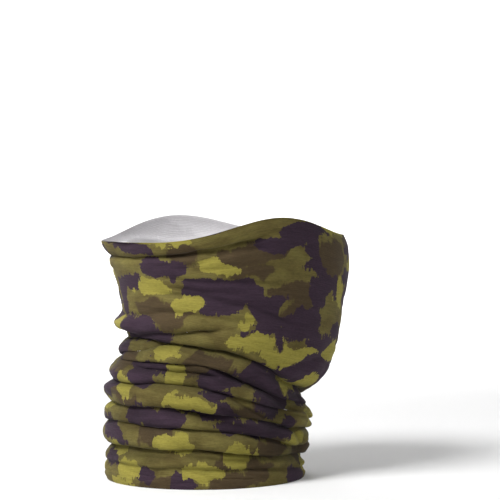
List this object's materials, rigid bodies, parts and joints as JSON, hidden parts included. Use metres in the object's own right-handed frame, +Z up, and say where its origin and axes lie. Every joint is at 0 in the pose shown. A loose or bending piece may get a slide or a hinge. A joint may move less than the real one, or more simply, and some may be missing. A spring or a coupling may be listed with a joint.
{
  "type": "neck gaiter",
  "caption": "Knitted tubular neck gaiter in a woodland print, as worn from the collar up over jaw and nose, gathered round the neck, with a blank label inside the top edge.",
  "frame": {"origin": "on the plane that the bottom edge stands on, under the middle of the bounding box", "axes": "+Z up the tube to the face opening, -Y towards the wearer's nose, +X towards the wearer's left"},
  "size_m": [0.158, 0.2065, 0.204],
  "materials": {
    "printed_jersey": "matte",
    "printed_jersey_edge": "matte",
    "label_tape": "satin",
    "sewing_thread": "satin"
  },
  "bodies": {
    "neck": {"bottom_edge_band": "printed_jersey_edge", "neck_tube": "printed_jersey", "face_tube": "printed_jersey"},
    "top_edge": {"top_edge_band": "printed_jersey_edge", "label_sewn_edge": "label_tape", "label_stitching": "sewing_thread"},
    "label_flap": {"label": "label_tape"}
  },
  "joints": [
    {"name": "pull_down", "type": "slide", "parent": "neck", "child": "top_edge", "axis": [0, 0, -1], "range_m": [0, 0.065], "deforming": ["face_tube"]},
    {"name": "label_lift", "type": "hinge", "parent": "top_edge", "child": "label_flap", "pos_m": [0, 0.09374, 0.17983], "axis": [-1, 0, 0], "range_deg": [0, 80]}
  ]
}
